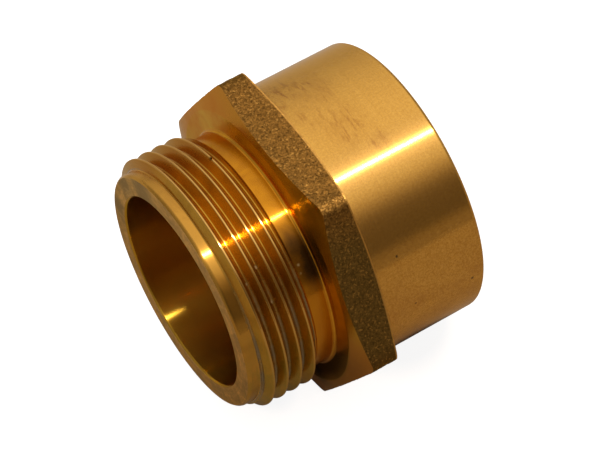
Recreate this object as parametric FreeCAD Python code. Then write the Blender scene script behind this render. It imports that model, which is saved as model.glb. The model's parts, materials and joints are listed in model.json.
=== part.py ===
"""Fire hose adapter: a hexagon-bodied brass fitting, cast and turned in one piece.

The turning axis lies along X, with the male hose thread at -X and the female pipe
socket at +X. The fitting lies on one of its six flats, at Z = 0, as it does on a bench.
The origin is under the middle of its length. All sizes are in millimetres.
"""
import FreeCAD, Part
import math
import os

# Male hose thread, with equal flats on its crests and in its roots
THREAD_MAJOR_DIAMETER = 50.546
THREADS_PER_INCH = 9.0
THREAD_FLANK_ANGLE = 30.0
THREAD_FLAT_SHARE = 0.125
# Where the groove crosses the plane of the sealing face, turning from +Y towards +Z
THREAD_START_ANGLE = 188.0

# Turned spigot that carries the hose thread, from its sealing face to the hexagon
FACE_BEVEL_LENGTH = 0.5
FACE_BEVEL_DEPTH = 0.45
PILOT_LENGTH = 1.85
PILOT_CLEARANCE = 0.08
LEAD_BEVEL_ANGLE = 75.0
THREAD_LENGTH = 10.6
RELIEF_BEVEL_LENGTH = 1.25
RELIEF_CLEARANCE = 0.15
NECK_LENGTH = 4.1
NECK_BEVEL = 0.6

# Waterway and female pipe socket, the socket at its tapping size
SPIGOT_WALL = 4.39
WATERWAY_EDGE_BEVEL = 0.4
SHOULDER_WIDTH = 2.95
SOCKET_DEPTH = 22.0
SOCKET_MOUTH_DEPTH = 2.2

# Turned barrel round the socket
BARREL_WALL = 5.25
BARREL_LENGTH = 21.8
BARREL_EDGE_BEVEL = 0.5

# Cast hexagon, with both of its faces turned to a shallow cone
HEXAGON_SIDES = 6
HEXAGON_LENGTH = 7.9
FLAT_STEP = 1.75
CORNER_ROUNDING = 2.5
FRONT_FACE_INSET = 1.5
FRONT_CHAMFER_ANGLE = 16.0
BACK_CHAMFER_ANGLE = 12.0

INCH = 25.4
ORIGIN = FreeCAD.Vector(0, 0, 0)
AXIS = FreeCAD.Vector(1, 0, 0)

# Thread form
thread_pitch = INCH / THREADS_PER_INCH
thread_flat = THREAD_FLAT_SHARE * thread_pitch
flank_slope = math.tan(math.radians(THREAD_FLANK_ANGLE))
thread_depth = (thread_pitch / 2 - thread_flat) / flank_slope

# Radii, from the thread inwards to the waterway and then outwards to the hexagon
thread_radius = THREAD_MAJOR_DIAMETER / 2
root_radius = thread_radius - thread_depth
pilot_radius = root_radius - PILOT_CLEARANCE
neck_radius = root_radius - RELIEF_CLEARANCE
waterway_radius = root_radius - SPIGOT_WALL
socket_radius = waterway_radius + SHOULDER_WIDTH
barrel_radius = socket_radius + BARREL_WALL
flat_height = barrel_radius + FLAT_STEP
corner_reach = flat_height / math.cos(math.pi / HEXAGON_SIDES)

# Stations along the axis, each counted from the sealing face of the male end
lead_start = FACE_BEVEL_LENGTH + PILOT_LENGTH
crest_start = lead_start + (thread_radius - pilot_radius) / math.tan(math.radians(LEAD_BEVEL_ANGLE))
crest_end = lead_start + THREAD_LENGTH
neck_start = crest_end + RELIEF_BEVEL_LENGTH
hexagon_front = neck_start + NECK_LENGTH
hexagon_back = hexagon_front + HEXAGON_LENGTH
total_length = hexagon_back + BARREL_LENGTH
shoulder = total_length - SOCKET_DEPTH

# How far a cutting shape runs past the metal that it cuts
overrun = thread_pitch


def at(station, radius):
    """A point of a turned profile, at a station and a radius in the XY half plane."""
    return FreeCAD.Vector(station - total_length / 2, radius, 0)


def turned(points):
    """The solid that a closed profile sweeps in one turn round the X axis."""
    face = Part.Face(Part.makePolygon(points + points[:1]))
    return face.revolve(ORIGIN, AXIS, 360)


def turned_blank():
    """The outside as it leaves the lathe, with a round disc where the hexagon will be."""
    disc_radius = corner_reach + overrun
    face_radius = flat_height - FRONT_FACE_INSET
    front_rise = (disc_radius - face_radius) * math.tan(math.radians(FRONT_CHAMFER_ANGLE))
    back_rise = (disc_radius - barrel_radius) * math.tan(math.radians(BACK_CHAMFER_ANGLE))
    return turned([
        at(0, 0),
        at(0, pilot_radius - FACE_BEVEL_DEPTH),
        at(FACE_BEVEL_LENGTH, pilot_radius),
        at(lead_start, pilot_radius),
        at(crest_start, thread_radius),
        at(crest_end, thread_radius),
        at(neck_start, neck_radius),
        at(hexagon_front - NECK_BEVEL, neck_radius),
        at(hexagon_front, neck_radius + NECK_BEVEL),
        at(hexagon_front, face_radius),
        at(hexagon_front + front_rise, disc_radius),
        at(hexagon_back - back_rise, disc_radius),
        at(hexagon_back, barrel_radius),
        at(total_length - BARREL_EDGE_BEVEL, barrel_radius),
        at(total_length, barrel_radius - BARREL_EDGE_BEVEL),
        at(total_length, 0),
    ])


def flats_cutter():
    """The ring of metal outside the six flats and their rounded corners."""
    turns = [2 * math.pi * i / HEXAGON_SIDES for i in range(HEXAGON_SIDES)]
    corners = [FreeCAD.Vector(0, corner_reach * math.cos(t), corner_reach * math.sin(t)) for t in turns]
    outline = Part.Face(Part.makePolygon(corners + corners[:1]))
    prism = outline.extrude(AXIS * HEXAGON_LENGTH)
    corner_edges = [e for e in prism.Edges if e.tangentAt(e.FirstParameter).cross(AXIS).Length < 0.5]
    prism = prism.makeFillet(CORNER_ROUNDING, corner_edges)
    ring = Part.makeCylinder(corner_reach + 2 * overrun, HEXAGON_LENGTH, ORIGIN, AXIS).cut(prism)
    ring.translate(at(hexagon_front, 0))
    return ring


def thread_groove():
    """The helical V groove of the hose thread, from in front of the face into the neck."""
    start = -thread_pitch
    length = neck_start + thread_flat - start
    lift = thread_flat / 4 / flank_slope
    outer_radius = thread_radius + lift
    root_half = thread_flat / 2
    outer_half = root_half + (outer_radius - root_radius) * flank_slope
    section = [
        FreeCAD.Vector(root_radius, 0, -root_half),
        FreeCAD.Vector(root_radius, 0, root_half),
        FreeCAD.Vector(outer_radius, 0, outer_half),
        FreeCAD.Vector(outer_radius, 0, -outer_half),
    ]
    no_taper = 0.0
    helix = Part.makeLongHelix(thread_pitch, length, root_radius, no_taper)
    outline = Part.makePolygon(section + section[:1])
    groove = Part.Wire(helix.Edges).makePipeShell([outline], True, True)
    # The helix is made upright: lay its axis along X, then turn its start from -Z into place
    groove.rotate(ORIGIN, FreeCAD.Vector(0, 1, 0), 90)
    groove.rotate(ORIGIN, AXIS, 90 + THREAD_START_ANGLE)
    groove.translate(at(start, 0))
    return groove


def hollow():
    """The waterway and the female socket, as one turned core."""
    bevel = WATERWAY_EDGE_BEVEL
    return turned([
        at(-overrun, 0),
        at(-overrun, waterway_radius + bevel + overrun),
        at(bevel, waterway_radius),
        at(shoulder - bevel, waterway_radius),
        at(shoulder, waterway_radius + bevel),
        at(shoulder, socket_radius),
        at(total_length - SOCKET_MOUTH_DEPTH, socket_radius),
        at(total_length + overrun, socket_radius + SOCKET_MOUTH_DEPTH + overrun),
        at(total_length + overrun, 0),
    ])


def adapter_body():
    """Blank, flats, hollow and thread, laid on the lower flat."""
    body = turned_blank().cut(flats_cutter())
    body = body.cut(hollow())
    body = body.cut(thread_groove())
    body.translate(FreeCAD.Vector(0, 0, flat_height))
    return body


os.makedirs("parts", exist_ok=True)
adapter = adapter_body()
adapter.exportStep("parts/adapter_body.step")
box = adapter.optimalBoundingBox(True, False)
print("adapter_body: %d solid, valid %s, %.0f mm3" % (len(adapter.Solids), adapter.isValid(), adapter.Volume))
print("box %.2f x %.2f x %.2f mm" % (box.XLength, box.YLength, box.ZLength))
print("waterway %.2f, socket %.2f, barrel %.2f, across flats %.2f mm" % (
    2 * waterway_radius, 2 * socket_radius, 2 * barrel_radius, 2 * flat_height))
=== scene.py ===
# %% [markdown]
# A brass fire hose adapter, dressed for the camera
# The fitting screws a hose coupling onto a threaded pipe. It is one piece of brass: a casting
# whose six flats keep the skin of the sand mould, and whose every round surface is turned.
# This lesson makes that one piece again in fine detail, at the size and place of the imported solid.

# %% Load the frame
import json
import math
import bmesh
import bpy
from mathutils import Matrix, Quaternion, Vector


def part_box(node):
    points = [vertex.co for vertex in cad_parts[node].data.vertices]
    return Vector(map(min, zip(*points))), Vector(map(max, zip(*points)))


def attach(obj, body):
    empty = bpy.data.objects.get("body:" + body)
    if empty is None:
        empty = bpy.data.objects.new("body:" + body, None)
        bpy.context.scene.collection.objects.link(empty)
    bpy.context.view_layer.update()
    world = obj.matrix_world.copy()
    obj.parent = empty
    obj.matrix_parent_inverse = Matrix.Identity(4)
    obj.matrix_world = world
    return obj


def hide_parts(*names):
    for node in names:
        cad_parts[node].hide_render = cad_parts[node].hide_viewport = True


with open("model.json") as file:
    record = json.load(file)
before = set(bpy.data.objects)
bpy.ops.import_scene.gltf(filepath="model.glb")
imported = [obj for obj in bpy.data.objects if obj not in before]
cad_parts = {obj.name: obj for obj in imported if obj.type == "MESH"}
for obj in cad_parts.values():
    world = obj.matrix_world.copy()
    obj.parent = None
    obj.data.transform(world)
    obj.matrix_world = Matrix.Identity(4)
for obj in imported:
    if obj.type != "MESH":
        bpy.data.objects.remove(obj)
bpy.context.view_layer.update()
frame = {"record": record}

MM = 0.001

# %% [markdown]
# Camera
# A product picture of a small fitting is taken with a long lens from a little way off, so its
# round ends stay nearly true ellipses. The place and the lens were fitted to the outlines of both
# ends, the edges of the hexagon and the crests of the thread. The camera is set first, because the
# lights are judged in it.

# %% Camera
CAMERA_PLACE = Vector((-144.2, -234.4, 416.3)) * MM
CAMERA_AIM = Vector((2.2, 0.6, 29.0)) * MM
CAMERA_ROLL = math.radians(-1.16)
CAMERA_LENS = 156.0
CAMERA_SENSOR = 36.0

camera_data = bpy.data.cameras.new("camera")
camera_data.lens = CAMERA_LENS
camera_data.sensor_width = CAMERA_SENSOR
camera_data.sensor_fit = "HORIZONTAL"
camera_data.clip_start = 10 * MM
camera_data.clip_end = 100.0
camera = bpy.data.objects.new("camera", camera_data)
bpy.context.scene.collection.objects.link(camera)
camera.location = CAMERA_PLACE
camera.rotation_mode = "QUATERNION"
sight = (CAMERA_AIM - CAMERA_PLACE).to_track_quat("-Z", "Y")
camera.rotation_quaternion = sight @ Quaternion((0, 0, 1), CAMERA_ROLL)
bpy.context.scene.camera = camera
print("camera stands %.0f mm from its aim" % ((CAMERA_AIM - CAMERA_PLACE).length / MM))

# %% [markdown]
# Sizes
# The outer sizes come from the frame, so the new piece can't drift from the solid. The rest are the
# turner's own measures, in millimetres: stations are counted along the axis from the sealing face
# of the hose end. Everything is modelled round the X axis, as in a lathe, and lifted at the end.

# %% Sizes of the fitting
INCH = 25.4
HOSE_PITCH = INCH / 9
HOSE_DEPTH = 1.833
PILOT_CLEARANCE = 0.08
RELIEF_CLEARANCE = 0.15
BARREL_RADIUS = 27.25
FRONT_FACE_INSET = 1.5
HEX_FRONT = 18.3
HEX_BACK = 26.2
SHOULDER = 26.0

node_low, node_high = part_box("adapter_body")
mounts = {mount["name"]: mount["dims"] for mount in frame["record"]["mounts"]}
length = (node_high.x - node_low.x) / MM
axis_height = (node_high.z + node_low.z) / 2
flat_height = (node_high.z - node_low.z) / 2 / MM
hose_radius = mounts["hose_thread"]["r_mm"]
waterway_radius = mounts["waterway"]["r_mm"]
socket_radius = mounts["pipe_socket"]["r_mm"]
socket_mouth_depth = length - SHOULDER - mounts["pipe_socket"]["length_mm"]
ROOT_RADIUS = hose_radius - HOSE_DEPTH
PILOT_RADIUS = ROOT_RADIUS - PILOT_CLEARANCE
NECK_RADIUS = ROOT_RADIUS - RELIEF_CLEARANCE
HEX_FACE_RADIUS = flat_height - FRONT_FACE_INSET
print("length %.2f, across flats %.2f, thread radius %.3f mm" % (length, 2 * flat_height, hose_radius))


# %% Helpers for working as by hand
def deselect_all():
    """Leaves edit mode and deselects everything, so the next operator acts on one piece only."""
    if bpy.context.object and bpy.context.object.mode != "OBJECT":
        bpy.ops.object.mode_set(mode="OBJECT")
    bpy.ops.object.select_all(action="DESELECT")


def activate(piece):
    """Makes one piece the only selected one, and the active one."""
    deselect_all()
    piece.select_set(True)
    bpy.context.view_layer.objects.active = piece


def at(station, radius):
    """A point of a turned outline, from millimetres to the scene's metres."""
    return Vector((station - length / 2, 0, radius)) * MM


def select_where(piece, kind, test):
    """In edit mode, selects the verts, edges or faces that pass a test, and nothing else."""
    bpy.ops.mesh.select_all(action="DESELECT")
    modes = {"verts": "VERT", "edges": "EDGE", "faces": "FACE"}
    bpy.ops.mesh.select_mode(type=modes[kind])
    mesh = bmesh.from_edit_mesh(piece.data)
    for element in getattr(mesh, kind):
        element.select_set(test(element))
    bmesh.update_edit_mesh(piece.data)


def near(spots, reach=0.01):
    """A test that passes the verts that lie at any of the given spots."""
    return lambda vert: any((vert.co - spot).length < reach * MM for spot in spots)


def draw_outline(name, points, closed):
    """Extrudes one vertex from corner to corner, and stays in edit mode on the new line."""
    deselect_all()
    bpy.ops.mesh.primitive_plane_add(size=MM, location=(0, 0, 0))
    piece = bpy.context.object
    piece.name = name
    bpy.ops.object.mode_set(mode="EDIT")
    bpy.ops.mesh.merge(type="CENTER")
    bpy.ops.transform.translate(value=points[0])
    for corner, following in zip(points, points[1:]):
        step = {"value": following - corner}
        bpy.ops.mesh.extrude_vertices_move(TRANSFORM_OT_translate=step)
    if closed:
        select_where(piece, "verts", near([points[0], points[-1]]))
        bpy.ops.mesh.edge_face_add()
    return piece


def round_corners(piece, spots, reach, segments):
    """Turns the corners at some spots of an outline into small arcs."""
    select_where(piece, "verts", near(spots))
    bpy.ops.mesh.bevel(offset=reach * MM, segments=segments, affect="VERTICES")


def combine(piece, other, operation):
    """Cuts one piece with another, or keeps what both share, and throws the other away."""
    activate(piece)
    modifier = piece.modifiers.new(operation.lower(), "BOOLEAN")
    modifier.operation = operation
    modifier.solver = "MANIFOLD"
    modifier.object = other
    bpy.ops.object.modifier_apply(modifier=modifier.name)
    bpy.data.objects.remove(other)


def describe(piece):
    """Prints a piece's triangles, and whether its skin is closed."""
    mesh = bmesh.new()
    mesh.from_mesh(piece.data)
    triangles = len(mesh.calc_loop_triangles())
    closed = all(edge.is_manifold for edge in mesh.edges)
    volume = mesh.calc_volume(signed=True) / MM**3
    mesh.free()
    print("%s: %d triangles, closed %s, %.0f mm3" % (piece.name, triangles, closed, volume))


# %% [markdown]
# Turned blank
# On the lathe the casting gets all its round surfaces: the sealing face, the pilot ahead of the
# thread, the neck behind it, both faces of the hexagon, the barrel and the hollow. It could be
# stacked from cylinders, but one closed outline, spun once round the axis, is what a lathe does,
# and it gives every corner the small radius that catches the light.

# %% Outline of the blank
DISC_RADIUS = 36.0
FRONT_CONE = math.tan(math.radians(16.0))
BACK_CONE = math.tan(math.radians(12.0))
LEAD_SLOPE = math.tan(math.radians(75.0))
EDGE_BEVEL = 0.35
FACE_BEVEL_DEPTH = 0.45
BARREL_EDGE_BEVEL = 0.5
PILOT_START, PILOT_END = 0.5, 2.35
THREAD_END, NECK_START = 12.95, 14.2
CRISP, SOFT, FILLET = 0.1, 0.25, 0.8

outline = [
    (0.0, waterway_radius + EDGE_BEVEL, CRISP),
    (0.0, PILOT_RADIUS - FACE_BEVEL_DEPTH, CRISP),
    (PILOT_START, PILOT_RADIUS, SOFT),
    (PILOT_END, PILOT_RADIUS, SOFT),
    (PILOT_END + (hose_radius - PILOT_RADIUS) / LEAD_SLOPE, hose_radius, CRISP),
    (THREAD_END, hose_radius, CRISP),
    (NECK_START, NECK_RADIUS, SOFT),
    (HEX_FRONT, NECK_RADIUS, FILLET),
    (HEX_FRONT, HEX_FACE_RADIUS, SOFT),
    (HEX_FRONT + (DISC_RADIUS - HEX_FACE_RADIUS) * FRONT_CONE, DISC_RADIUS, None),
    (HEX_BACK - (DISC_RADIUS - BARREL_RADIUS) * BACK_CONE, DISC_RADIUS, None),
    (HEX_BACK, BARREL_RADIUS, SOFT),
    (length - BARREL_EDGE_BEVEL, BARREL_RADIUS, SOFT),
    (length, BARREL_RADIUS - BARREL_EDGE_BEVEL, SOFT),
    (length, socket_radius + socket_mouth_depth, SOFT),
    (length - socket_mouth_depth, socket_radius, CRISP),
    (SHOULDER, socket_radius, SOFT),
    (SHOULDER, waterway_radius + EDGE_BEVEL, CRISP),
    (SHOULDER - EDGE_BEVEL, waterway_radius, CRISP),
    (EDGE_BEVEL, waterway_radius, CRISP),
]
adapter = draw_outline("adapter", [at(s, r) for s, r, rounding in outline], closed=True)
for rounding, segments in ((CRISP, 2), (SOFT, 3), (FILLET, 6)):
    round_corners(adapter, [at(s, r) for s, r, reach in outline if reach == rounding], rounding, segments)
print("outline has", len(adapter.data.vertices), "corners before rounding")

# %% Spin the blank
SPIN_STEPS = 240
TURN = 2 * math.pi
WELD_REACH = 0.002
bpy.ops.mesh.select_all(action="SELECT")
bpy.ops.mesh.spin(steps=SPIN_STEPS, angle=TURN, center=(0, 0, 0), axis=(1, 0, 0))
bpy.ops.mesh.select_all(action="SELECT")
bpy.ops.mesh.remove_doubles(threshold=WELD_REACH * MM)
bpy.ops.mesh.normals_make_consistent(inside=False)
deselect_all()
describe(adapter)

# %% [markdown]
# Six cast flats
# The hexagon was never machined on its flats, so they keep the grain of the sand. A bump map would
# leave the outline of the edges too clean. Here a six-sided bar with rounded corners is divided
# finely over the hexagon, roughened inwards by two sizes of clouds, and shared with the blank.

# %% Six-sided bar with a sandy skin
CORNER_REACH = flat_height / math.cos(math.pi / 6)
CORNER_ROUNDING = 2.5 * math.tan(math.pi / 6)
BAR_LENGTH = length + 8
BAND = (HEX_FRONT - 1.0, HEX_BACK + 1.0)
GRAIN_STEP = 0.26

deselect_all()
bpy.ops.mesh.primitive_cylinder_add(
    vertices=6, radius=CORNER_REACH * MM, depth=BAR_LENGTH * MM, rotation=(0, math.pi / 2, 0))
bar = bpy.context.object
bar.name = "six_sided_bar"
bpy.ops.object.transform_apply(location=True, rotation=True)
bpy.ops.object.mode_set(mode="EDIT")


def runs_along(edge):
    """True for an edge that lies along the axis."""
    run = edge.verts[1].co - edge.verts[0].co
    return abs(run.x) > 0.9 * run.length


def in_band(vert, margin=0.01):
    """True for a vertex over the hexagon, on the band's rims too."""
    station = vert.co.x / MM + length / 2
    return BAND[0] - margin <= station <= BAND[1] + margin


select_where(bar, "edges", runs_along)
bpy.ops.mesh.bevel(offset=CORNER_ROUNDING * MM, segments=8, affect="EDGES")
for station in BAND:
    bpy.ops.mesh.select_all(action="SELECT")
    bpy.ops.mesh.bisect(plane_co=at(station, 0), plane_no=(1, 0, 0))
select_where(bar, "edges", lambda edge: runs_along(edge) and all(in_band(v) for v in edge.verts))
bpy.ops.mesh.subdivide(number_cuts=round((BAND[1] - BAND[0]) / GRAIN_STEP))
select_where(bar, "edges", lambda edge: all(in_band(v) for v in edge.verts) and edge.calc_length() > 10 * MM)
bpy.ops.mesh.subdivide(number_cuts=round(CORNER_REACH / GRAIN_STEP))
select_where(bar, "verts", lambda vert: in_band(vert, -0.1))
bpy.ops.object.vertex_group_add()
bpy.ops.object.vertex_group_assign()
deselect_all()
describe(bar)

# %% Roughen the bar and share it with the blank
for grain_size, depth in ((1.7, 0.10), (0.62, 0.16)):
    clouds = bpy.data.textures.new("sand_grain", "CLOUDS")
    clouds.noise_scale = grain_size * MM
    clouds.noise_depth = 1
    grain = bar.modifiers.new("grain", "DISPLACE")
    grain.texture = clouds
    grain.texture_coords = "LOCAL"
    grain.vertex_group = bar.vertex_groups[0].name
    grain.mid_level = 1.0
    grain.strength = depth * MM
    activate(bar)
    bpy.ops.object.modifier_apply(modifier=grain.name)
combine(adapter, bar, "INTERSECT")
describe(adapter)

# %% [markdown]
# Hose thread
# The thread on the real fitting is cut by a die. A helix of triangles glued onto the neck would
# leave seams, so this lesson makes the die itself: one pitch of the thread's outline, swept by a
# Screw modifier and thickened outwards, then cut from the blank. The die fixes the crests, the
# roots and how the thread runs out into the neck.


# %% Sweep a helical cutter
def thread_cutter(name, points, roundings, pitch, turns, thickness):
    """Sweeps one pitch of outline into a helical sheet, and gives it thickness across the axis."""
    cutter = draw_outline(name, points, closed=False)
    for spots, reach, segments in roundings:
        round_corners(cutter, spots, reach, segments)
    deselect_all()
    activate(cutter)
    screw = cutter.modifiers.new("screw", "SCREW")
    screw.axis = "X"
    screw.angle = TURN
    screw.screw_offset = pitch * MM
    screw.iterations = turns
    screw.steps = SPIN_STEPS
    screw.render_steps = SPIN_STEPS
    bpy.ops.object.modifier_apply(modifier=screw.name)
    bpy.ops.object.mode_set(mode="EDIT")
    bpy.ops.mesh.select_all(action="SELECT")
    bpy.ops.mesh.remove_doubles(threshold=WELD_REACH * MM)
    bpy.ops.mesh.extrude_region_move()
    bpy.ops.transform.resize(value=(1, thickness, thickness), center_override=(0, 0, 0))
    bpy.ops.mesh.select_all(action="SELECT")
    bpy.ops.mesh.normals_make_consistent(inside=False)
    deselect_all()
    describe(cutter)
    return cutter


# %% Cut the hose thread
GROOVE_ANGLE = 188.0
UPRIGHT = 90.0
HOSE_START = GROOVE_ANGLE - UPRIGHT
HOSE_FLAT = HOSE_PITCH / 8
CREST_SKIM = 0.02
HOSE_TURNS = 7
CREST_ROUNDING, ROOT_ROUNDING, ROUNDING_STEPS = 0.09, 0.12, 2
DIE_THICKNESS = 1.15

crest = hose_radius - CREST_SKIM
first_root = -HOSE_PITCH * (HOSE_START / 360 + 1)
crest_half = HOSE_FLAT / 2
flank_end = HOSE_PITCH / 2 - crest_half
die_outline = [
    at(first_root - HOSE_PITCH / 2, crest),
    at(first_root - flank_end, crest),
    at(first_root - crest_half, ROOT_RADIUS),
    at(first_root + crest_half, ROOT_RADIUS),
    at(first_root + flank_end, crest),
    at(first_root + HOSE_PITCH / 2, crest),
]
crest_corners = [die_outline[1], die_outline[4]]
root_corners = [die_outline[2], die_outline[3]]
die_roundings = [
    (crest_corners, CREST_ROUNDING, ROUNDING_STEPS),
    (root_corners, ROOT_ROUNDING, ROUNDING_STEPS),
]
die = thread_cutter("die", die_outline, die_roundings, HOSE_PITCH, HOSE_TURNS, DIE_THICKNESS)
combine(adapter, die, "DIFFERENCE")
describe(adapter)

# %% [markdown]
# Pipe thread in the socket
# The other end takes a pipe, whose thread tapers so that it tightens as it is screwed in. A tap cuts
# it. The tap is made as the die was, tapered one in sixteen, with a nose that fades the thread out.

# %% Cut the pipe thread
PIPE_PITCH = INCH / 11.5
PIPE_CREST = 24.03
PIPE_ROOT = 22.1
PIPE_FLAT = PIPE_PITCH / 12
PIPE_TURNS = 10
TAP_MOUTH = length + PIPE_PITCH
TAPER = 1 / 32
NOSE_LENGTH = 5.0
NOSE_SLOPE = 0.3
TAP_THICKNESS = 0.6

tap_start = TAP_MOUTH - (PIPE_TURNS + 1) * PIPE_PITCH
tap_half = PIPE_FLAT / 2
tap_outline = [
    at(tap_start, PIPE_CREST),
    at(tap_start + tap_half, PIPE_CREST),
    at(tap_start + PIPE_PITCH / 2 - tap_half, PIPE_ROOT),
    at(tap_start + PIPE_PITCH / 2 + tap_half, PIPE_ROOT),
    at(tap_start + PIPE_PITCH - tap_half, PIPE_CREST),
    at(tap_start + PIPE_PITCH, PIPE_CREST),
]
tap = thread_cutter("tap", tap_outline, [], PIPE_PITCH, PIPE_TURNS, TAP_THICKNESS)
for vert in tap.data.vertices:
    depth = length / 2 * MM - vert.co.x
    nose = max(0.0, NOSE_LENGTH * MM - (vert.co.x - at(tap_start, 0).x))
    across = math.hypot(vert.co.y, vert.co.z)
    slimmer = 1 - (TAPER * depth + NOSE_SLOPE * nose) / across
    vert.co.y *= slimmer
    vert.co.z *= slimmer
combine(adapter, tap, "DIFFERENCE")
describe(adapter)

# %% [markdown]
# A nick in the thread
# The last crest carries one small nick, where something hard has knocked it. It is a wedge cut
# across the crest, so that it shows in the outline as well as in the shading.

# %% Cut the nick
NICK_ANGLE = 75.5
NICK_STATION = 11.77
NICK_SIZE = (0.75, 1.2, 0.6)
NICK_SIDES, NICK_BASE, NICK_TIP = 10, 0.5, 0.12
deselect_all()
bpy.ops.mesh.primitive_cone_add(
    vertices=NICK_SIDES, radius1=NICK_BASE, radius2=NICK_TIP, depth=1.0, location=(0, 0, 0))
nick = bpy.context.object
nick.name = "nick"
bpy.ops.object.mode_set(mode="EDIT")
bpy.ops.transform.resize(value=[size * MM for size in NICK_SIZE], center_override=(0, 0, 0))
bpy.ops.mesh.flip_normals()
bpy.ops.transform.resize(value=(1, 1, -1), center_override=(0, 0, 0))
bpy.ops.transform.translate(value=at(NICK_STATION, hose_radius))
bpy.ops.transform.rotate(value=math.radians(UPRIGHT - NICK_ANGLE), orient_axis="X", center_override=(0, 0, 0))
deselect_all()
describe(nick)
print("nick at", [round(c / MM, 2) for c in nick.data.vertices[0].co])
combine(adapter, nick, "DIFFERENCE")

# %% [markdown]
# Lay it down and shade it
# Faces that meet at a small angle are shaded as one. Weighted normals then let each large face keep
# its own direction, so a turned face looks flat right up to its rounded edge.

# %% Lay the fitting on its flat
SMOOTH_ANGLE = math.radians(32)
activate(adapter)
bpy.ops.object.mode_set(mode="EDIT")
bpy.ops.mesh.select_all(action="SELECT")
bpy.ops.transform.translate(value=(0, 0, axis_height))
deselect_all()
activate(adapter)
bpy.ops.object.shade_smooth_by_angle(angle=SMOOTH_ANGLE)
weighted = adapter.modifiers.new("flat_faces_stay_flat", "WEIGHTED_NORMAL")
weighted.mode = "FACE_AREA_WITH_ANGLE"
weighted.keep_sharp = True
bpy.ops.object.modifier_apply(modifier=weighted.name)
describe(adapter)

# %% [markdown]
# Shared surface effects
# Five effects are kept as node groups, because they are used again and again. Turning marks are fine
# rings round the axis, tarnish is the cloudy brown of handled brass, scuffs are short streaks,
# specks are scattered grains, and a soft spot marks one place. Each gives a mask or a height, and
# each finish decides what to do with it.


# %% Node helpers
def new_group(name, inputs, outputs):
    """An empty node group with named sockets, and its two end nodes."""
    group = bpy.data.node_groups.new(name, "ShaderNodeTree")
    for label, kind, value in inputs:
        socket = group.interface.new_socket(label, in_out="INPUT", socket_type=kind)
        if value is not None:
            socket.default_value = value
    for label in outputs:
        group.interface.new_socket(label, in_out="OUTPUT", socket_type="NodeSocketFloat")
    return group, group.nodes.new("NodeGroupInput"), group.nodes.new("NodeGroupOutput")


def add(tree, kind, settings=None, **values):
    """A new node with its settings, and with values or links on its named inputs."""
    node = tree.nodes.new("ShaderNode" + kind)
    for key, value in (settings or {}).items():
        setattr(node, key, value)
    for label, value in values.items():
        name = label.replace("_", " ")
        socket = node.inputs[int(name[1:])] if name[0] == "i" and name[1:].isdigit() else node.inputs[name]
        if isinstance(value, bpy.types.NodeSocket):
            tree.links.new(value, socket)
        else:
            socket.default_value = value
    return node


# %% Turning marks, tarnish, scuffs, specks and spots
VECTOR, FLOAT = "NodeSocketVector", "NodeSocketFloat"

turning_marks, start, end = new_group(
    "turning marks", [("Vector", VECTOR, None), ("Marks per metre", FLOAT, 3000.0)], ["Height"])
across = add(turning_marks, "VectorMath", {"operation": "MULTIPLY"}, i0=start.outputs[0], i1=(0, 1, 1))
radius = add(turning_marks, "VectorMath", {"operation": "LENGTH"}, i0=across.outputs[0])
along = add(turning_marks, "SeparateXYZ", i0=start.outputs[0])
ring = add(turning_marks, "CombineXYZ", X=along.outputs["X"], Y=radius.outputs["Value"])
rings = add(turning_marks, "TexNoise", Vector=ring.outputs[0], Scale=start.outputs[1], Detail=3.0)
turning_marks.links.new(rings.outputs["Fac"], end.inputs["Height"])

tarnish, start, end = new_group(
    "tarnish",
    [("Vector", VECTOR, None), ("Patches per metre", FLOAT, 90.0), ("Spread", FLOAT, 0.5)],
    ["Mask"])
clouds = add(
    tarnish, "TexNoise", Vector=start.outputs[0], Scale=start.outputs[1],
    Detail=5.0, Roughness=0.62, Distortion=0.6)
low = add(tarnish, "Math", {"operation": "SUBTRACT"}, i0=0.85, i1=start.outputs[2])
high = add(tarnish, "Math", {"operation": "ADD"}, i0=low.outputs[0], i1=0.25)
mask = add(
    tarnish, "MapRange", Value=clouds.outputs["Fac"], From_Min=low.outputs[0], From_Max=high.outputs[0])
tarnish.links.new(mask.outputs[0], end.inputs["Mask"])

scuffs, start, end = new_group(
    "scuffs",
    [("Vector", VECTOR, None), ("Streaks per metre", FLOAT, 900.0), ("Spread", FLOAT, 0.3)],
    ["Mask"])
stretched = add(scuffs, "VectorMath", {"operation": "MULTIPLY"}, i0=start.outputs[0], i1=(1.0, 0.22, 0.22))
streaks = add(
    scuffs, "TexNoise", Vector=stretched.outputs[0], Scale=start.outputs[1], Detail=4.0, Roughness=0.7)
low = add(scuffs, "Math", {"operation": "SUBTRACT"}, i0=0.95, i1=start.outputs[2])
high = add(scuffs, "Math", {"operation": "ADD"}, i0=low.outputs[0], i1=0.12)
mask = add(
    scuffs, "MapRange", Value=streaks.outputs["Fac"], From_Min=low.outputs[0], From_Max=high.outputs[0])
scuffs.links.new(mask.outputs[0], end.inputs["Mask"])

specks, start, end = new_group(
    "specks",
    [("Vector", VECTOR, None), ("Grains per metre", FLOAT, 3000.0), ("Spread", FLOAT, 0.3)],
    ["Mask"])
grains = add(specks, "TexNoise", Vector=start.outputs[0], Scale=start.outputs[1], Detail=1.0)
low = add(specks, "Math", {"operation": "SUBTRACT"}, i0=0.9, i1=start.outputs[2])
high = add(specks, "Math", {"operation": "ADD"}, i0=low.outputs[0], i1=0.06)
mask = add(
    specks, "MapRange", Value=grains.outputs["Fac"], From_Min=low.outputs[0], From_Max=high.outputs[0])
specks.links.new(mask.outputs[0], end.inputs["Mask"])

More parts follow.
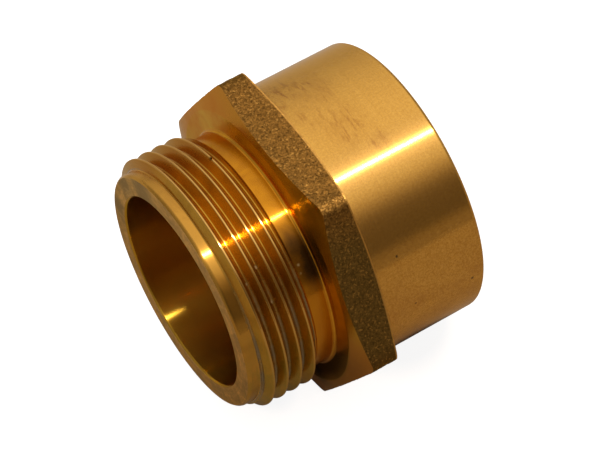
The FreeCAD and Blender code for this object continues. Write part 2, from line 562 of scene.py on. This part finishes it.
soft_spot, start, end = new_group(
    "soft spot",
    [("Vector", VECTOR, None), ("Centre", VECTOR, None), ("Reach", FLOAT, 0.001), ("Narrow", FLOAT, 1.0)],
    ["Mask"])
apart = add(soft_spot, "VectorMath", {"operation": "SUBTRACT"}, i0=start.outputs[0], i1=start.outputs[1])
narrow = add(soft_spot, "CombineXYZ", X=start.outputs[3], Y=1.0, Z=1.0)
shaped = add(soft_spot, "VectorMath", {"operation": "MULTIPLY"}, i0=apart.outputs[0], i1=narrow.outputs[0])
size = add(soft_spot, "VectorMath", {"operation": "LENGTH"}, i0=shaped.outputs[0])
mask = add(
    soft_spot, "MapRange", {"interpolation_type": "SMOOTHSTEP"},
    Value=size.outputs["Value"], From_Max=start.outputs[2], To_Min=1.0, To_Max=0.0)
soft_spot.links.new(mask.outputs[0], end.inputs["Mask"])
print("node groups:", [group.name for group in bpy.data.node_groups])

# %% [markdown]
# Finishes
# All of the metal is the same brass, a warm one. Turned skin scatters light along the axis, across
# its fine rings, which stretches each highlight into a line: that is what Anisotropic does here,
# with a tangent that runs round the axis. The finishes differ in polish, tarnish and grain, and some
# carry painted light: painted shade towards the bottom, on the far side and in a few spots, and painted
# highlights and glints on the thread's crests and the cast flats. A thin film of oil lies on the
# barrel and the spigot. Silt and lime on the thread and the neck are no metal, so Metallic falls
# where they lie.

# %% Start of every finish
BRASS = (0.93, 0.487, 0.088, 1.0)
BRASS_DEEP = (0.65, 0.293, 0.033, 1.0)
GOLD = (0.67, 0.315, 0.04, 1.0)
GOLD_DEEP = (0.55, 0.24, 0.027, 1.0)
POLISHED = (0.84, 0.38, 0.03, 1.0)
BROWN = (0.61, 0.30, 0.03, 1.0)
BROWN_DEEP = (0.49, 0.23, 0.02, 1.0)
AMBER = (0.66, 0.255, 0.01, 1.0)
AMBER_DEEP = (0.54, 0.195, 0.008, 1.0)
UMBER = (0.70, 0.46, 0.05, 1.0)
UMBER_DEEP = (0.56, 0.36, 0.036, 1.0)
CHAMFER = (0.60, 0.25, 0.035, 1.0)
TARNISH_AND_SHADE_BROWN = (0.46, 0.17, 0.02, 1.0)
UNDERSIDE_SHADE_AND_GRIME = (0.34, 0.235, 0.03, 1.0)
LOW_SHADE_BROWN = (0.43, 0.17, 0.06, 1.0)
CREST_WEAR_AND_HIGHLIGHT = (0.86, 0.48, 0.14, 1.0)
ROSE = (0.68, 0.25, 0.045, 1.0)
SOOT_AND_SHADE = (0.05, 0.028, 0.01, 1.0)
LIME = (0.48, 0.34, 0.17, 1.0)
SILT = (0.24, 0.17, 0.10, 1.0)
WARM_EDGE = (1.0, 0.82, 0.52, 1.0)
ALONG_AXIS = 0.25


def filmed(shader, weight, roughness):
    """A thin clear film, as fingers and oil leave it, with a faint white shine of its own."""
    shader.inputs["Coat Weight"].default_value = weight
    shader.inputs["Coat Roughness"].default_value = roughness


def new_finish(name):
    """An empty material: its tree, its metal shader and its pattern place, centred on the axis."""
    material = bpy.data.materials.new(name)
    material.use_nodes = True
    tree = material.node_tree
    shader = tree.nodes["Principled BSDF"]
    shader.inputs["Metallic"].default_value = 1.0
    shader.inputs["Specular Tint"].default_value = WARM_EDGE
    place = add(tree, "TexCoord")
    centred = add(tree, "Mapping", Vector=place.outputs["Object"], Location=(0, 0, -axis_height))
    return material, tree, shader, centred.outputs[0]


def use(tree, group, **values):
    """Places a shared effect in a material."""
    node = tree.nodes.new("ShaderNodeGroup")
    node.node_tree = group
    for label, value in values.items():
        socket = node.inputs[label.replace("_", " ")]
        if isinstance(value, bpy.types.NodeSocket):
            tree.links.new(value, socket)
        else:
            socket.default_value = value
    return node.outputs[0]


def blend(tree, mask, first, second):
    """Goes from one colour to another by a mask."""
    mix = add(tree, "Mix", {"data_type": "RGBA"})
    for value, socket in ((mask, mix.inputs["Factor"]), (first, mix.inputs[6]), (second, mix.inputs[7])):
        if isinstance(value, bpy.types.NodeSocket):
            tree.links.new(value, socket)
        else:
            socket.default_value = value
    return mix.outputs[2]


def span(tree, value, low, high, from_low=0.0, from_high=1.0, kind="LINEAR"):
    """Maps a value from one range to another."""
    ends = {"From_Min": from_low, "From_Max": from_high, "To_Min": low, "To_Max": high}
    return add(tree, "MapRange", {"interpolation_type": kind}, Value=value, **ends).outputs[0]


def math_of(tree, operation, first, second=0.0):
    """One step of arithmetic on values or sockets."""
    return add(tree, "Math", {"operation": operation}, i0=first, i1=second).outputs[0]


def from_axis(tree, place):
    """How far a place lies from the axis."""
    spread = add(tree, "VectorMath", {"operation": "MULTIPLY"}, i0=place, i1=(0, 1, 1))
    return add(tree, "VectorMath", {"operation": "LENGTH"}, i0=spread.outputs[0]).outputs["Value"]


def raised(tree, shader, height, strength, depth):
    """Gives a finish a fine relief, with its depth in millimetres."""
    bump = add(tree, "Bump", Height=height, Strength=strength, Distance=depth * MM)
    tree.links.new(bump.outputs[0], shader.inputs["Normal"])


def on_skin(station, angle, radius):
    """A spot on a turned surface, as the finishes count places: from the middle of the axis."""
    turn = math.radians(angle)
    return Vector((station - length / 2, radius * math.cos(turn), radius * math.sin(turn))) * MM


def grooved(tree, shader, amount):
    """Stretches the highlights along the axis, as fine rings do."""
    tangent = add(tree, "Tangent", {"direction_type": "RADIAL", "axis": "X"})
    tree.links.new(tangent.outputs[0], shader.inputs["Tangent"])
    shader.inputs["Anisotropic"].default_value = amount
    shader.inputs["Anisotropic Rotation"].default_value = ALONG_AXIS


# %% Satin barrel
BARREL_PITS = [(31.2, 148.0, 0.5, 1.3, 1.0), (45.1, 176.5, 0.55, 1.0, 1.0), (32.9, 173.0, 0.35, 1.0, 1.0)]
SCUFFED_PLACES = [
    (28.0, 64.0, 10.0, 1.0, 1.0),
    (34.0, 70.0, 9.0, 1.6, 0.8),
    (30.0, 84.0, 6.0, 1.2, 0.6),
    (34.5, 95.0, 8.0, 1.3, 0.8),
    (38.0, 106.0, 3.0, 1.0, 0.9),
]


def spots_of(tree, place, spots, radius):
    """One mask for soft spots, each with a station, an angle, a reach, a narrowing and a strength."""
    total = 0.0
    for station, angle, reach, narrow, strength in spots:
        centre = on_skin(station, angle, radius)
        mask = use(tree, soft_spot, Vector=place, Centre=centre, Reach=reach * MM, Narrow=narrow)
        total = math_of(tree, "MAXIMUM", total, math_of(tree, "MULTIPLY", mask, strength))
    return total


def satin_barrel():
    """Turned brass that has been handled: fine mottling, brown smudges, short scuffs and a few pits."""
    material, tree, shader, place = new_finish("satin_barrel")
    mottle = add(tree, "TexNoise", Vector=place, Scale=2600.0, Detail=3.0, Roughness=0.75)
    marks = use(tree, turning_marks, Vector=place, Marks_per_metre=2600.0)
    height = add(tree, "SeparateXYZ", i0=place).outputs["Z"]
    contrast = span(tree, height, 1.2, 0.5, 8 * MM, 20 * MM)
    flecks = math_of(tree, "MULTIPLY", span(tree, mottle.outputs["Fac"], -0.5, 0.5, 0.32, 0.68), contrast)
    rings = math_of(tree, "ADD", flecks, span(tree, marks, 0.42, 0.58, 0.3, 0.7))
    metal = blend(tree, rings, BRASS, BRASS_DEEP)
    # Brown blotches, which fade out upwards, so the lower barrel is browner.
    blotch = use(tree, tarnish, Vector=place, Patches_per_metre=130.0, Spread=0.42)
    blotched = math_of(tree, "MULTIPLY", blotch, span(tree, height, 0.5, 0.0, 2 * MM, 16 * MM))
    metal = blend(tree, blotched, metal, TARNISH_AND_SHADE_BROWN)
    handled = spots_of(tree, place, SCUFFED_PLACES, BARREL_RADIUS)
    smudge = use(tree, tarnish, Vector=place, Patches_per_metre=220.0, Spread=0.48)
    scuff = use(tree, scuffs, Vector=place, Streaks_per_metre=1300.0, Spread=0.44)
    rubbing = math_of(tree, "ADD", span(tree, smudge, 0.05, 0.5), span(tree, scuff, 0, 0.85))
    wear = math_of(tree, "MULTIPLY", handled, rubbing)
    worn = blend(tree, wear, metal, TARNISH_AND_SHADE_BROWN)
    pits = spots_of(tree, place, BARREL_PITS, BARREL_RADIUS)
    tree.links.new(blend(tree, span(tree, pits, 0, 0.8, 0.1, 0.8), worn, SOOT_AND_SHADE), shader.inputs["Base Color"])
    tree.links.new(span(tree, mottle.outputs["Fac"], 0.165, 0.20), shader.inputs["Roughness"])
    raised(tree, shader, marks, 0.12, 0.01)
    grooved(tree, shader, 1.0)
    filmed(shader, 0.36, 0.28)
    return material


# %% Turned spigot
STAINED_NECK = [(16.6, 127.0, 6.0, 0.9, 0.75), (17.4, 132.0, 7.0, 2.2, 1.0), (17.1, 139.0, 5.5, 1.8, 1.0)]
NECK_DOTS = [(13.9, 135.5, 0.4, 1.0, 0.7), (15.1, 134.8, 0.5, 1.0, 0.8), (14.9, 138.6, 0.4, 1.0, 0.6)]
ROOT_DOTS = [(7.75, 127.0, 0.6, 1.0, 0.8), (7.8, 143.5, 0.6, 1.0, 0.9), (4.9, 131.5, 0.5, 1.0, 0.7)]
KNOCKED_CREST = [(NICK_STATION, NICK_ANGLE, 0.75, 1.0, 1.0)]
CREST_RUB = 0.16


def turned_spigot(
        name, light, dark, gloss, film,
        flank_dulling=0.0, painted_shade_below=0.0, wear_silt_and_shade=0.0, spots=(), radius=0.0, dots=()):
    """Turned brass of the hose end, from a bright pilot to a thread and a neck browned by oil. Where asked,
    it adds painted shade towards the bottom and on the far side, and crests worn lighter with a painted
    highlight towards the top.
    """
    material, tree, shader, place = new_finish(name)
    smudge = use(tree, tarnish, Vector=place, Patches_per_metre=160.0, Spread=0.4)
    metal = blend(tree, smudge, light, dark)
    side, height = add(tree, "SeparateXYZ", i0=place).outputs[1:]
    # Painted shade: towards the far side the metal turns browner.
    metal = blend(tree, span(tree, side, 0.0, 1.6 * wear_silt_and_shade, 4 * MM, 14 * MM), metal, TARNISH_AND_SHADE_BROWN)
    # Painted shade: darker towards the bottom, broken up by patches of grime.
    lower = span(tree, height, painted_shade_below, 0.0, 2 * MM, 18 * MM)
    stains = use(tree, tarnish, Vector=place, Patches_per_metre=260.0, Spread=0.5)
    dirt = use(tree, scuffs, Vector=place, Streaks_per_metre=800.0, Spread=0.5)
    grime = math_of(tree, "MAXIMUM", span(tree, stains, 0.2, 0.8), dirt)
    shaded_below = blend(tree, math_of(tree, "MULTIPLY", lower, grime), metal, UNDERSIDE_SHADE_AND_GRIME)
    across = from_axis(tree, place)
    # Crests worn lighter, and lighter still towards the top as a painted highlight.
    crests = span(tree, across, 0.0, wear_silt_and_shade, (hose_radius - CREST_RUB) * MM, (hose_radius - 0.03) * MM)
    handled = span(tree, height, 0.7, 1.0, 6 * MM, 20 * MM)
    rubbed_and_lit = blend(tree, math_of(tree, "MULTIPLY", crests, handled), shaded_below, CREST_WEAR_AND_HIGHLIGHT)
    dried = span(tree, across, wear_silt_and_shade, 0.0, (ROOT_RADIUS + 0.12) * MM, (ROOT_RADIUS + 0.32) * MM)
    silted = math_of(tree, "MULTIPLY", dried, span(tree, height, 1.4, 0.0, 14 * MM, 21 * MM))
    crust = math_of(tree, "MULTIPLY", silted, span(tree, stains, 0.3, 1.0))
    limed = blend(tree, crust, rubbed_and_lit, SILT)
    if dots:
        chalk = span(tree, spots_of(tree, place, dots, ROOT_RADIUS), 0, 1.0, 0, 0.6)
        limed = blend(tree, chalk, limed, LIME)
        crust = math_of(tree, "MAXIMUM", crust, chalk)
        tree.links.new(span(tree, crust, 1.0, 0.1), shader.inputs["Metallic"])
    marred = limed
    if spots:
        ragged = math_of(tree, "MULTIPLY", spots_of(tree, place, spots, radius), span(tree, stains, 0.7, 1.2))
        marred = blend(tree, span(tree, ragged, 0, 0.85, 0.0, 0.9), limed, SOOT_AND_SHADE)
    tree.links.new(marred, shader.inputs["Base Color"])
    above_root = span(tree, across, 0.0, 1.0, (ROOT_RADIUS + 0.15) * MM, (ROOT_RADIUS + 0.3) * MM)
    below_crest = span(tree, across, 1.0, 0.0, (hose_radius - 0.3) * MM, (hose_radius - 0.15) * MM)
    flank = span(tree, math_of(tree, "MULTIPLY", above_root, below_crest), 0.0, flank_dulling)
    roughness = math_of(tree, "ADD", span(tree, smudge, gloss, gloss + 0.06), flank)
    tree.links.new(roughness, shader.inputs["Roughness"])
    marks = use(tree, turning_marks, Vector=place, Marks_per_metre=2200.0)
    raised(tree, shader, marks, 0.08, 0.01)
    grooved(tree, shader, 1.0)
    filmed(shader, film, 0.12)
    return material


# %% Front of the hexagon
# Painted shade spots, each with a station, an angle, a reach, a narrowing and a strength.
CORNER_SHADE_SPOTS = [(18.5, 228.0, 5.0, 1.0, 1.0), (18.6, 126.0, 6.0, 1.0, 0.5), (18.4, 113.8, 3.0, 1.0, 0.85)]
TIP_SHADE_SPOTS = [(20.0, 116.0, 6.5, 1.0, 0.85)]
CORNER_SHADE_RADIUS = NECK_RADIUS + 3
TIP_SHADE_RADIUS = 31.5
RUBBED_EAR = [(19.0, 25.0, 18.0, 0.5, 1.0), (19.2, 52.0, 12.0, 0.5, 1.0)]


def turned_front():
    """Turned brass, browned by oil, rosy and dull where hands rub it, with painted shade towards the bottom
    and in spots beside the neck, at a corner tip and low on the near side.
    """
    material, tree, shader, place = new_finish("hexagon_front")
    smudge = use(tree, tarnish, Vector=place, Patches_per_metre=160.0, Spread=0.4)
    across = from_axis(tree, place)
    sloped = span(tree, across, 0.0, 1.0, (HEX_FACE_RADIUS - 0.1) * MM, (HEX_FACE_RADIUS + 0.2) * MM)
    side, height = add(tree, "SeparateXYZ", i0=place).outputs[1:]
    ear = span(tree, side, 0.0, 1.0, 2 * MM, 7 * MM)
    foot = span(tree, height, 1.0, 0.0, 3 * MM, 14 * MM)
    chamfered = math_of(tree, "MULTIPLY", sloped, math_of(tree, "MAXIMUM", ear, foot))
    metal = blend(tree, chamfered, blend(tree, smudge, UMBER, UMBER_DEEP), CHAMFER)
    clouds = use(tree, tarnish, Vector=place, Patches_per_metre=420.0, Spread=0.5)
    ear_rub = spots_of(tree, place, RUBBED_EAR, HEX_FACE_RADIUS)
    rosy = math_of(tree, "MULTIPLY", ear_rub, span(tree, clouds, 1.0, 0.7))
    handled = blend(tree, rosy, metal, ROSE)
    # Painted shade: darker and browner towards the bottom.
    shaded_below = blend(tree, span(tree, height, 0.7, 0.0, -4 * MM, 8 * MM), handled, LOW_SHADE_BROWN)
    # Painted shade: dark spots beside the neck, at a corner tip and low on the near side, which dim
    # reflections there.
    shade_near_corner = spots_of(tree, place, CORNER_SHADE_SPOTS, CORNER_SHADE_RADIUS)
    painted_shade_spots = math_of(tree, "MAXIMUM", shade_near_corner, spots_of(tree, place, TIP_SHADE_SPOTS, TIP_SHADE_RADIUS))
    shade_spot_mask = math_of(tree, "MULTIPLY", painted_shade_spots, span(tree, clouds, 0.8, 1.1))
    tree.links.new(blend(tree, span(tree, shade_spot_mask, 0, 0.85, 0.0, 0.9), shaded_below, SOOT_AND_SHADE), shader.inputs["Base Color"])
    tree.links.new(span(tree, rosy, 0.18, 0.48), shader.inputs["Roughness"])
    marks = use(tree, turning_marks, Vector=place, Marks_per_metre=2200.0)
    raised(tree, shader, marks, 0.04, 0.01)
    grooved(tree, shader, 0.8)
    return material


# %% Dull sealing face
FACE_LIGHT = (0.88, 0.48, 0.14, 1.0)
FACE_DARK = (0.64, 0.34, 0.09, 1.0)
FACE_GRAIN = (0.36, 0.21, 0.08, 1.0)
FACE_STAIN_AND_SHADE = (0.30, 0.19, 0.09, 1.0)
FACE_SHADE_RADIUS = PILOT_RADIUS - 2
FACE_SHADE_SPOTS = [(0.0, 58.0, 7.0, 1.0, 0.9), (0.0, 36.0, 5.0, 1.0, 0.6), (0.0, 5.0, 6.0, 1.0, 0.5)]


def dull_face():
    """The sealing face, stained grey-brown in patches, with painted shade in a few spots on its upper far
    side.
    """
    material, tree, shader, place = new_finish("dull_face")
    stain = use(tree, tarnish, Vector=place, Patches_per_metre=300.0, Spread=0.5)
    marks = use(tree, turning_marks, Vector=place, Marks_per_metre=2600.0)
    metal = blend(tree, span(tree, marks, 0, 1, 0.35, 0.65), FACE_LIGHT, FACE_DARK)
    grain = add(tree, "TexNoise", Vector=place, Scale=2400.0, Detail=2.0)
    dull = blend(tree, span(tree, grain.outputs["Fac"], 0.0, 0.45, 0.4, 0.7), metal, FACE_GRAIN)
    # Painted shade in a few spots on the upper far side, added to the stain patches.
    painted_shade_spots = spots_of(tree, place, FACE_SHADE_SPOTS, FACE_SHADE_RADIUS)
    stain_and_shade = math_of(tree, "ADD", span(tree, stain, 0, 0.6), painted_shade_spots)
    stained_and_shaded = blend(tree, span(tree, stain_and_shade, 0, 0.85), dull, FACE_STAIN_AND_SHADE)
    tree.links.new(stained_and_shaded, shader.inputs["Base Color"])
    tree.links.new(span(tree, stain, 0.42, 0.58), shader.inputs["Roughness"])
    raised(tree, shader, marks, 0.4, 0.03)
    grooved(tree, shader, 0.6)
    return material


# %% Cast flats
SAND_DARK = (0.12, 0.053, 0.010, 1.0)
SAND_LIGHT = (0.37, 0.165, 0.031, 1.0)
SHADE_DARK = (0.10, 0.053, 0.011, 1.0)
SHADE_LIGHT = (0.245, 0.13, 0.027, 1.0)
WORN_AND_GLINTING_SAND = (0.78, 0.38, 0.08, 1.0)
CORNER_START, CORNER_END = 31.8, 32.5
TURNED_EDGE_START, TURNED_EDGE_END = 0.32, 0.22


def cast_flats():
    """Sand-cast skin: fine dark grain, darker on the corners, with painted shade on the lower flats, painted
    glints on the upper flat, rubbed bright with painted glints on the upper corners and rubbed bright along
    the turned back edge.
    """
    material, tree, shader, place = new_finish("cast_flats")
    fine = add(tree, "TexNoise", Vector=place, Scale=2500.0, Detail=2.0, Roughness=0.6, Distortion=0.8)
    upper = span(tree, add(tree, "SeparateXYZ", i0=place).outputs["Z"], 0.0, 1.0, 21 * MM, 28 * MM)
    coarse = add(tree, "TexNoise", Vector=place, Scale=1100.0, Detail=2.0, Roughness=0.6, Distortion=1.2)
    clumps = span(tree, coarse.outputs["Fac"], -0.04, 0.04, 0.3, 0.7)
    speckle = math_of(tree, "ADD", fine.outputs["Fac"], clumps)
    grain = span(tree, speckle, 0, 1, 0.34, 0.66)
    # Painted shade: the lower flats get a darker copy of the grain.
    shaded_grain = blend(tree, grain, SHADE_DARK, SHADE_LIGHT)
    skin = blend(tree, upper, shaded_grain, blend(tree, grain, SAND_DARK, SAND_LIGHT))
    radius = from_axis(tree, place)
    corner = span(tree, radius, 0.0, 1.0, CORNER_START * MM, CORNER_END * MM)
    shaded = blend(tree, span(tree, corner, 0, 0.55), skin, SAND_DARK)
    # Painted glints: bright grains on the upper flat, and on the upper corners, where they are partly wear
    # too.
    worn_corner = span(tree, math_of(tree, "MULTIPLY", corner, upper), 0, 0.25)
    grains = use(tree, specks, Vector=place, Grains_per_metre=2300.0, Spread=0.36)
    glints = use(tree, specks, Vector=place, Grains_per_metre=2100.0, Spread=0.29)
    corner_wear_and_glints = math_of(tree, "MULTIPLY", worn_corner, grains)
    flat_glints = math_of(tree, "MULTIPLY", glints, span(tree, upper, 0.32, 0.4))
    rubbed_and_lit = math_of(tree, "MAXIMUM", corner_wear_and_glints, flat_glints)
    station = add(tree, "SeparateXYZ", i0=place).outputs["X"]
    edge = math_of(tree, "ADD", station, math_of(tree, "MULTIPLY", radius, BACK_CONE))
    rim = (HEX_BACK - length / 2 + BARREL_RADIUS * BACK_CONE) * MM
    turned = span(tree, edge, 0.0, 1.0, rim - TURNED_EDGE_START * MM, rim - TURNED_EDGE_END * MM)
    # Wear and painted glints together, with the bright turned back edge.
    worn = math_of(tree, "MAXIMUM", rubbed_and_lit, span(tree, turned, 0, 0.8))
    tree.links.new(blend(tree, worn, shaded, WORN_AND_GLINTING_SAND), shader.inputs["Base Color"])
    tree.links.new(span(tree, worn, 0.52, 0.34), shader.inputs["Roughness"])
    raised(tree, shader, fine.outputs["Fac"], 0.8, 0.12)
    return material


# %% Bored hollow
BORE_LIGHT = (0.62, 0.315, 0.03, 1.0)
BORE_DARK = (0.49, 0.24, 0.021, 1.0)


def bored_hollow():
    """The waterway and the socket, bored and left as the tool leaves them."""
    material, tree, shader, place = new_finish("bored_hollow")
    smudge = use(tree, tarnish, Vector=place, Patches_per_metre=120.0, Spread=0.4)
    metal = blend(tree, span(tree, smudge, 0, 0.5), BORE_LIGHT, BORE_DARK)
    tree.links.new(metal, shader.inputs["Base Color"])
    tree.links.new(span(tree, smudge, 0.21, 0.26), shader.inputs["Roughness"])
    marks = use(tree, turning_marks, Vector=place, Marks_per_metre=1800.0)
    raised(tree, shader, marks, 0.2, 0.01)
    grooved(tree, shader, 1.0)
    return material


# %% All finishes, in the order of their slots
FINISHES = [
    satin_barrel(),
    turned_spigot("bright_pilot", GOLD, GOLD_DEEP, gloss=0.20, film=0.22, painted_shade_below=0.5),
    turned_spigot(
        "oiled_thread", BROWN, BROWN_DEEP, gloss=0.14, film=0.14, flank_dulling=0.03, painted_shade_below=0.8, wear_silt_and_shade=0.6,
        spots=KNOCKED_CREST, radius=hose_radius, dots=ROOT_DOTS),
    turned_spigot(
        "oiled_neck", AMBER, AMBER_DEEP, gloss=0.14, film=0.14,
        spots=STAINED_NECK, radius=NECK_RADIUS, dots=NECK_DOTS),
    turned_front(),
    turned_spigot("bright_fillet", POLISHED, GOLD, gloss=0.22, film=0.0),
    dull_face(),
    cast_flats(),
    bored_hollow(),
]
adapter.data.materials.clear()
for finish in FINISHES:
    adapter.data.materials.append(finish)
BARREL, PILOT, THREAD, NECK, FRONT, CORNER, FACE, FLATS, HOLLOW = range(len(FINISHES))
print("finishes:", [finish.name for finish in FINISHES])


# %% Give each surface its finish
HOLLOW_REACH = waterway_radius + 0.3
SOCKET_REACH = PIPE_CREST + 0.1
FLATS_FROM = flat_height - 0.5
FLATS_FACING = 0.6
BARREL_FROM = HEX_FRONT + 4.0
FRONT_FROM, FRONT_ABOVE = HEX_FRONT - 0.3, NECK_RADIUS + 0.5
FILLET_FROM, FILLET_BAND = HEX_FRONT - 0.6, (NECK_RADIUS + 0.1, NECK_RADIUS + 0.25)
FACE_DEPTH, THREAD_FROM, NECK_FROM = 0.05, 2.3, 14.0


def finish_of(polygon):
    """The finish of a face, by its place along and across the axis and the way it looks."""
    centre = polygon.center
    station = centre.x / MM + length / 2
    across = Vector((0, centre.y, centre.z - axis_height))
    radius = across.length / MM
    outward = polygon.normal.dot(across.normalized())
    if radius < HOLLOW_REACH or (station > SHOULDER and radius < SOCKET_REACH):
        return HOLLOW
    if HEX_FRONT < station < HEX_BACK and radius > FLATS_FROM and outward > FLATS_FACING:
        return FLATS
    if station > BARREL_FROM:
        return BARREL
    if station > FRONT_FROM and radius > FRONT_ABOVE:
        return FRONT
    if station > FILLET_FROM and FILLET_BAND[0] < radius < FILLET_BAND[1]:
        return CORNER
    if station > NECK_FROM:
        return NECK
    if station > THREAD_FROM:
        return THREAD
    return FACE if station < FACE_DEPTH else PILOT


for polygon in adapter.data.polygons:
    polygon.material_index = finish_of(polygon)
counts = [0] * len(FINISHES)
for polygon in adapter.data.polygons:
    counts[polygon.material_index] += 1
print("faces by finish:", dict(zip([finish.name for finish in FINISHES], counts)))
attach(adapter, "root")
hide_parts("adapter_body")

# %% [markdown]
# Floor and light
# The fitting lies on a plain pale floor. The floor glows for the camera alone, so it looks white and
# doesn't light the brass from below. What the brass reflects of it is painted light: darker and warmer
# on the near side, paler on the far side, with two patches of painted shadow under the fitting.
# Brass shows little but what stands round it, so the light is a room: a soft ceiling that is
# brightest overhead, a dim side where the camera stands, and two narrow strip lights in one line
# over the fitting, which draw the bright line along every turned surface.

# %% Floor
FLOOR_SIZE = 12.0
FLOOR_GLOW = 0.9
PAPER_NEAR_SHADED = (0.62, 0.53, 0.43, 1.0)
PAPER_FAR_LIT = (0.86, 0.86, 0.86, 1.0)
PAINTED_SHADOW = (0.12, 0.10, 0.08, 1.0)
FAR_FROM, FAR_TO = -30.0, 50.0
PAINTED_SHADOW_PATCHES = [((-24.0, 0.0, 0.0), (1.5, 1, 1), 20.0, 26.0), ((24.0, 3.0, 0.0), (2, 1, 1), 11.0, 14.0)]
deselect_all()
bpy.ops.mesh.primitive_plane_add(size=FLOOR_SIZE, location=(0, 0, 0))
floor = bpy.context.object
floor.name = "floor"
paper = bpy.data.materials.new("pale_floor")
paper.use_nodes = True
paper_tree = paper.node_tree
paper_shader = paper_tree.nodes["Principled BSDF"]
spot = add(paper_tree, "TexCoord").outputs["Object"]
# Painted light: the floor is darker and warmer on the near side and paler on the far side, as the brass
# reflects it.
depth = add(paper_tree, "SeparateXYZ", i0=spot).outputs["Y"]
far_side = span(paper_tree, depth, 0.0, 1.0, FAR_FROM * MM, FAR_TO * MM)
painted_light_tone = blend(paper_tree, far_side, PAPER_NEAR_SHADED, PAPER_FAR_LIT)
# Painted shadow: two dark patches on the floor under the fitting.
shade = 0.0
for shift, squeeze, dark_to, pale_from in PAINTED_SHADOW_PATCHES:
    moved = add(paper_tree, "Mapping", Vector=spot, Location=Vector(shift) * MM, Scale=squeeze).outputs[0]
    distance = add(paper_tree, "VectorMath", {"operation": "LENGTH"}, i0=moved).outputs["Value"]
    patch = span(paper_tree, distance, 1.0, 0.0, dark_to * MM, pale_from * MM)
    shade = math_of(paper_tree, "MAXIMUM", shade, patch)
paper_tree.links.new(blend(paper_tree, shade, painted_light_tone, PAINTED_SHADOW), paper_shader.inputs["Base Color"])
paper_shader.inputs["Roughness"].default_value = 1.0
paper_shader.inputs["Specular IOR Level"].default_value = 0.0
paper_shader.inputs["Emission Color"].default_value = (1, 1, 1, 1)
seen = add(paper_tree, "LightPath").outputs["Is Camera Ray"]
paper_tree.links.new(span(paper_tree, seen, 0.0, FLOOR_GLOW), paper_shader.inputs["Emission Strength"])
floor.data.materials.append(paper)

# %% Soft room
STRIP_ANGLE = math.radians(103)
STRIP_SLANT = math.cos(STRIP_ANGLE) / math.sin(STRIP_ANGLE)
STRIP_GLOW, STRIP_GLOW_REACH = 0.45, 0.3
CEILING_EDGE, CEILING_TOP = 0.48, 1.09
DIM_SIDE = 0.2
HORIZON_GLOW = 0.14
WARM_WALL = (1.0, 0.84, 0.66, 1.0)
WHITE = (1.0, 1.0, 1.0, 1.0)
world = bpy.data.worlds.new("soft_room")
bpy.context.scene.world = world
world.use_nodes = True
room = world.node_tree
way = add(room, "TexCoord")
parts = add(room, "SeparateXYZ", i0=way.outputs["Generated"])
x, y, z = parts.outputs
ceiling = span(room, z, CEILING_EDGE, CEILING_TOP)
lit_side = span(room, y, 0.0, 1.0, -0.78, -0.40, "SMOOTHSTEP")
side = span(room, lit_side, DIM_SIDE, 1.0)
slant = math_of(room, "DIVIDE", y, math_of(room, "MAXIMUM", z, 0.02))
off_strip = math_of(room, "ABSOLUTE", math_of(room, "SUBTRACT", slant, STRIP_SLANT))
glow = span(room, off_strip, STRIP_GLOW, 0.0, 0.0, STRIP_GLOW_REACH, "SMOOTHSTEP")
hose_end = span(room, x, 0.4, 1.0, -0.5, 0.2)
socket_end = span(room, x, 1.0, 0.4, 0.4, 0.75)
above = math_of(room, "ADD", math_of(room, "MULTIPLY", ceiling, side), glow)
ends = math_of(room, "MULTIPLY", hose_end, socket_end)
low_band = span(room, z, HORIZON_GLOW, 0.0, 0.1, 0.28, "SMOOTHSTEP")
horizon = math_of(room, "MULTIPLY", low_band, span(room, y, 1.0, 0.2, -0.8, 0.0))
level = math_of(room, "ADD", math_of(room, "MULTIPLY", above, ends), horizon)
room.links.new(blend(room, lit_side, WARM_WALL, WHITE), room.nodes["Background"].inputs["Color"])
room.links.new(level, room.nodes["Background"].inputs["Strength"])

# %% Strip lights
STRIP_DISTANCE = 0.75
STRIP_WIDTH = 0.014
STRIPS = [("strip", 0.19, 0.42, 1.40), ("strip_end", -0.07, 0.10, 1.7)]
for name, middle, strip_length, power in STRIPS:
    lamp = bpy.data.lights.new(name, "AREA")
    lamp.shape = "RECTANGLE"
    lamp.size = strip_length
    lamp.size_y = STRIP_WIDTH
    lamp.energy = power
    strip = bpy.data.objects.new(name, lamp)
    bpy.context.scene.collection.objects.link(strip)
    strip.location = (
        middle, STRIP_DISTANCE * math.cos(STRIP_ANGLE), axis_height + STRIP_DISTANCE * math.sin(STRIP_ANGLE))
    strip.rotation_euler = (STRIP_ANGLE - math.pi / 2, 0, 0)
    strip.visible_diffuse = False
    print(name, strip_length, "m long, power", power)
bpy.context.scene.view_settings.view_transform = "Standard"
